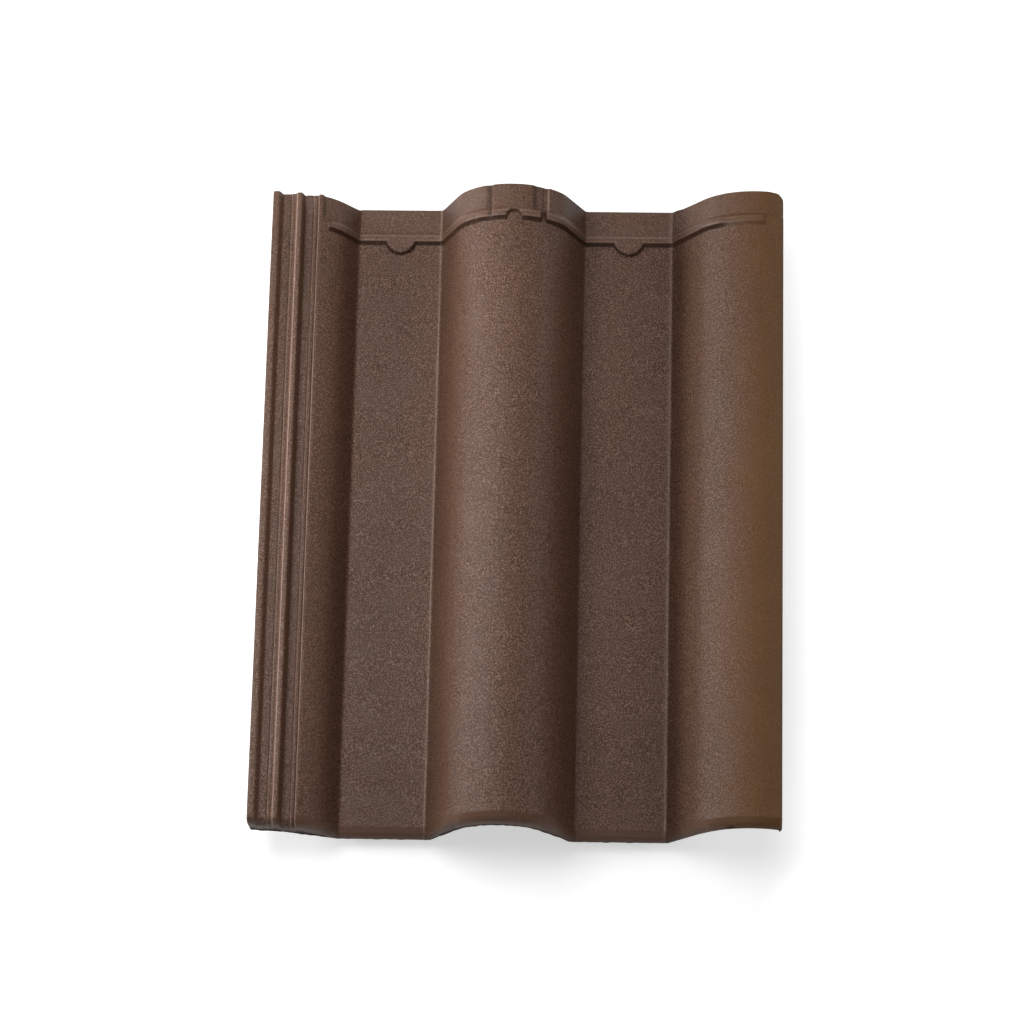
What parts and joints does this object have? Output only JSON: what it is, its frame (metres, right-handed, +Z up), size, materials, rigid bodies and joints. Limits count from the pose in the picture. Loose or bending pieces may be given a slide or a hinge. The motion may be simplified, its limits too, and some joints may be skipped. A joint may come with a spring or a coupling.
{
  "type": "verge tile",
  "caption": "Concrete interlocking roof tile with wide flat pans, round rolls, a grooved water lock on its left side, a cover lap on its right and a rib across the head.",
  "frame": {"origin": "centre of the bounding box in plan, at the level of the soles that the tile rests on", "axes": "+Y runs from the tail up to the head along the length, +X from the water lock to the cover lap, +Z up from the soles"},
  "size_m": [0.33, 0.4214, 0.0778],
  "materials": {
    "coated_concrete": "dark brown semi-matt coated concrete with a fine pebbled skin"
  },
  "bodies": {
    "root": {"verge_tile": "coated_concrete"}
  },
  "joints": []
}
